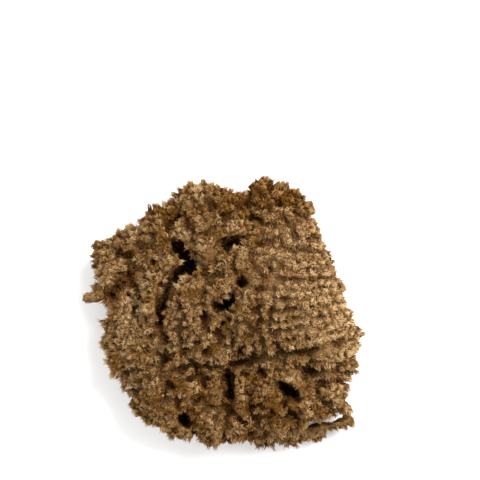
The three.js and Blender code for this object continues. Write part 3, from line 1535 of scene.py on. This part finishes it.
    def finish(self, g: Graph, grown: bpy.types.NodeSocket, squash: float) -> None:
        """Ruffles the grown strands, keeps them off the floor, and lays out their map, whose height
        channel also carries painted shade, darker where the skin is shut in and low on each strand.

        Args:
            g: the group.
            grown: the strands.
            squash: they are pressed level from this height down.
        """
        rise = g.named(Trait.RISE)
        swirl = g.node("ShaderNodeTexNoise", {"Scale": self.ruffle_scale, "Detail": 1.0})
        offset = g.vectors("SUBTRACT", g.out(swirl, "Color"), NOISE_MIDDLE)
        moved = g.node("GeometryNodeSetPosition", {
            "Geometry": grown,
            "Offset": g.vectors("SCALE", offset, g.maths("MULTIPLY", rise, self.ruffle)),
        })
        apart = g.node("ShaderNodeSeparateXYZ", {"Vector": g.here()})
        above = g.maths("SUBTRACT", g.out(apart, "Z"), squash)
        under = g.maths("DIVIDE", g.maths("MINIMUM", above, 0.0), squash)
        squashed = g.maths("MULTIPLY", g.maths("EXPONENT", under), squash)
        level = g.maths("ADD", squashed, g.maths("MAXIMUM", above, 0.0))
        lifted = g.node("ShaderNodeCombineXYZ", {
            "X": g.out(apart, "X"), "Y": g.out(apart, "Y"), "Z": level,
        })
        moved = g.node("GeometryNodeSetPosition", {
            "Geometry": g.out(moved, "Geometry"), "Position": g.out(lifted, "Vector"),
        })
        aside = g.maths("MULTIPLY", g.named(Trait.SIDE), self.side_step)
        across = g.maths("ADD", g.named(Trait.TINT), aside)
        # painted shade: fibres are coloured darker where the skin is shut in, and darker towards
        # their roots by shade_power
        spared = g.maths("MULTIPLY", g.named(Trait.OPENNESS), 1 - self.least_lit)
        lit = g.maths("ADD", spared, self.least_lit)
        rise_and_shade = g.maths("MULTIPLY", g.maths("POWER", rise, self.shade_power), lit)
        place = g.out(g.node("ShaderNodeCombineXYZ", {"X": across, "Y": rise_and_shade}), "Vector")
        grown = g.out(moved, "Geometry")
        g.feed(g.sink, g.stored(grown, COLOUR_MAP, place, "FLOAT2", "CORNER"))


class Paint(Nodes):
    """A material in the making, with the usual shader."""

    def __init__(self, name: str, roughness: float) -> None:
        """Starts the material.

        Args:
            name: the material's name.
            roughness: how rough it is, from 0 to 1.
        """
        self.material = bpy.data.materials.new(name)
        self.material.use_nodes = True
        super().__init__(self.material.node_tree)
        self.shader = self.tree.nodes["Principled BSDF"]
        self.shader.inputs["Roughness"].default_value = roughness

    def trait(self, trait: Trait) -> bpy.types.NodeSocket:
        """A trait's value."""
        made = self.node("ShaderNodeAttribute", attribute_name=trait.value)
        return self.out(made, "Fac")

    def mix(
        self, share: bpy.types.NodeSocket, low: bpy.types.NodeSocket | Colour,
        high: bpy.types.NodeSocket | Colour,
    ) -> bpy.types.NodeSocket:
        """A colour between two others.

        Args:
            share: the output that says how near the high colour is.
            low: the low colour, or the output that holds it.
            high: the high colour, or the output that holds it.

        Returns:
            The output that holds the colour between them.
        """
        ends = [(*end, 1.0) if isinstance(end, tuple) else end for end in (low, high)]
        made = self.node("ShaderNodeMix", data_type="RGBA", clamp_factor=True)
        for name, value in (("Factor", share), ("A", ends[0]), ("B", ends[1])):
            self.feed(self.pick(made.inputs, name), value)
        return self.out(made, "Result")


@dataclass(frozen=True)
class Spongin:
    """The dry fibre's colours: dark brown at the root, golden at the tip; the dark root is partly
    painted shade.

    Colours are linear red, green and blue.
    """

    # root colours: the fibre's darker base, partly painted shade of the depths among the fibres
    shaded_root_dark: Colour = (0.036, 0.0092, 0.0003)
    shaded_root_pale: Colour = (0.150, 0.047, 0.002)
    tip_dark: Colour = (0.370, 0.166, 0.025)
    tip_light: Colour = (1.000, 0.730, 0.385)
    roughness: float = 0.85
    # the body's base colours: painted shade of the depths under the fleece, and on the cut the dark
    # between the felt's flecks
    shade_bed_dark: Colour = (0.016, 0.005, 0.0005)
    shade_bed_pale: Colour = (0.070, 0.024, 0.002)
    felt_scale: float = 900.0
    felt_detail: float = 5.0
    fleck_from: float = 0.55
    fleck_light: float = 0.45
    # how much lighter open skin is painted than shut-in skin, as painted shade
    skin_share: float = 0.2
    shine: float = 0.05

    def fibre(self) -> bpy.types.Material:
        """Makes the fleece's material, which reads each fibre's tint and height from its map, the
        height lowered by painted shade.

        Returns:
            The material.
        """
        paint = self.start("spongin_fibre")
        place = paint.out(paint.node("ShaderNodeUVMap", uv_map=COLOUR_MAP), "UV")
        split = paint.node("ShaderNodeSeparateXYZ", {"Vector": place})
        tint = paint.out(split, "X")
        root = paint.mix(tint, self.shaded_root_dark, self.shaded_root_pale)
        return self.finished(paint, tint, paint.out(split, "Y"), root)

    def skin(self) -> bpy.types.Material:
        """Makes the body's material, which reads how open the skin is and its tint, and paints
        shade: dark brown under the fleece, darker where the skin is shut in.

        Returns:
            The material.
        """
        paint = self.start("spongin_body")
        place = paint.out(paint.node("ShaderNodeTexCoord"), "Object")
        felt = paint.node("ShaderNodeTexNoise", {
            "Vector": place, "Scale": self.felt_scale, "Detail": self.felt_detail,
        }).outputs[0]
        flecks = paint.node("ShaderNodeMapRange", {
            "Value": felt, "From Min": self.fleck_from, "To Max": self.fleck_light,
        })
        shown = paint.node("ShaderNodeMix", {
            "Factor": paint.trait(Trait.CUT), "A": paint.out(flecks, "Result"), "B": felt,
        })
        # painted shade: the skin is coloured darker where it is shut in
        painted_shade = paint.maths("MULTIPLY", paint.trait(Trait.OPENNESS), self.skin_share)
        height = paint.maths("ADD", painted_shade, paint.out(shown, "Result"))
        tint = paint.trait(Trait.TINT)
        return self.finished(paint, tint, height, paint.mix(tint, self.shade_bed_dark, self.shade_bed_pale))

    def start(self, name: str) -> Paint:
        """Starts a material with the fibre's roughness and its faint shine.

        Args:
            name: the material's name.

        Returns:
            The material in the making.
        """
        paint = Paint(name, self.roughness)
        paint.shader.inputs["Specular IOR Level"].default_value = self.shine
        return paint

    def finished(
        self, paint: Paint, tint: bpy.types.NodeSocket, height: bpy.types.NodeSocket,
        root: bpy.types.NodeSocket,
    ) -> bpy.types.Material:
        """Colours a material from the root colour up to the tip's.

        Args:
            paint: the material in the making.
            tint: the output that holds the tint, from 0 to 1.
            height: the output that holds the height, from 0 at the root to 1 at the tip, lowered by
                painted shade where the skin is shut in.
            root: the output that holds the colour at height 0, which is partly painted shade.

        Returns:
            The material.
        """
        tip = paint.mix(tint, self.tip_dark, self.tip_light)
        paint.feed(paint.shader.inputs["Base Color"], paint.mix(height, root, tip))
        return paint.material


@dataclass(frozen=True)
class Lamp:
    """A square area lamp, aimed at the sponge."""

    name: str
    place: tuple[float, float, float]
    size: float
    watts: float

    def build(self) -> None:
        """Puts the lamp into the scene."""
        light = bpy.data.lights.new(self.name, "AREA")
        light.size = self.size
        light.energy = self.watts
        lamp = bpy.data.objects.new(self.name, light)
        lamp.location = self.place
        lamp.rotation_euler = (-Vector(self.place)).to_track_quat("-Z", "Y").to_euler()
        bpy.context.scene.collection.objects.link(lamp)


@dataclass(frozen=True)
class Studio:
    """A plain pale floor, soft light, and a camera that looks straight down."""

    sky: float = 0.86
    sky_colour: Colour = (1, 1, 1)
    lamps: tuple[Lamp, ...] = (
        Lamp("key", (0.5, 0.45, 0.9), 0.5, 20),
        Lamp("fill", (-0.7, -0.2, 0.8), 0.8, 5),
    )
    floor_size: float = 3.0
    floor_colour: Colour = (0.92, 0.92, 0.92)
    floor_roughness: float = 0.9
    picture_width: float = 242.6 * MM
    aim: tuple[float, float] = (7.3 * MM, 37.7 * MM)
    height: float = 0.95
    sensor: float = 36.0
    clip: tuple[float, float] = (0.01, 100)

    def build(self, box: tuple[Vector, Vector]) -> None:
        """Makes the floor, the lights and the camera.

        Args:
            box: the object's lowest and highest corners.
        """
        self.floor()
        self.lights()
        self.camera((box[0].z + box[1].z) / 2)

    def floor(self) -> None:
        """The pale sheet that the sponge lies on."""
        sheet = bmesh.new()
        bmesh.ops.create_grid(sheet, x_segments=1, y_segments=1, size=self.floor_size)
        floor = show("floor", cast(sheet, "floor"))
        paint = Paint("pale_floor", self.floor_roughness)
        paint.shader.inputs["Base Color"].default_value = (*self.floor_colour, 1)
        floor.data.materials.append(paint.material)
        floor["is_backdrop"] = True

    def lights(self) -> None:
        """A broad key from the upper right, a weaker fill, and even light from all round."""
        scene = bpy.context.scene
        scene.view_settings.view_transform = "Standard"
        world = bpy.data.worlds.new("studio")
        scene.world = world
        world.use_nodes = True
        sky = world.node_tree.nodes["Background"]
        sky.inputs["Color"].default_value = (*self.sky_colour, 1)
        sky.inputs["Strength"].default_value = self.sky
        for lamp in self.lamps:
            lamp.build()

    def camera(self, middle: float) -> None:
        """A long lens that looks straight down, with +Y at the top of the picture.

        Args:
            middle: how high the object's middle is.
        """
        lens = bpy.data.cameras.new("camera")
        camera = bpy.data.objects.new("camera", lens)
        bpy.context.scene.collection.objects.link(camera)
        camera.location = (*self.aim, middle + self.height)
        lens.sensor_width = self.sensor
        lens.lens = self.sensor * self.height / self.picture_width
        lens.clip_start, lens.clip_end = self.clip
        bpy.context.scene.camera = camera


def main() -> None:
    """Builds the sponge round its frame, and the studio round the sponge."""
    logging.basicConfig(level=logging.INFO, format="%(message)s")
    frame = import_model()
    cad_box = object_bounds()
    ground = Ground(frame["nodes"][NODE])
    body = Body().build(ground)
    log.info("sponge_body: %d faces", len(body.data.polygons))
    Coat().dress(body, ground)
    fleece = Fleece().build(body)
    finish = Spongin()
    wear(body, finish.skin())
    fibre = finish.fibre()
    for piece in fleece:
        wear(piece, fibre)
        log.info("%s: %d faces", piece.name, len(piece.data.polygons))
    for piece in (body, *fleece):
        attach(piece, BODY)
    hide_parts(NODE)
    Studio().build(cad_box)


if __name__ == "__main__":
    main()
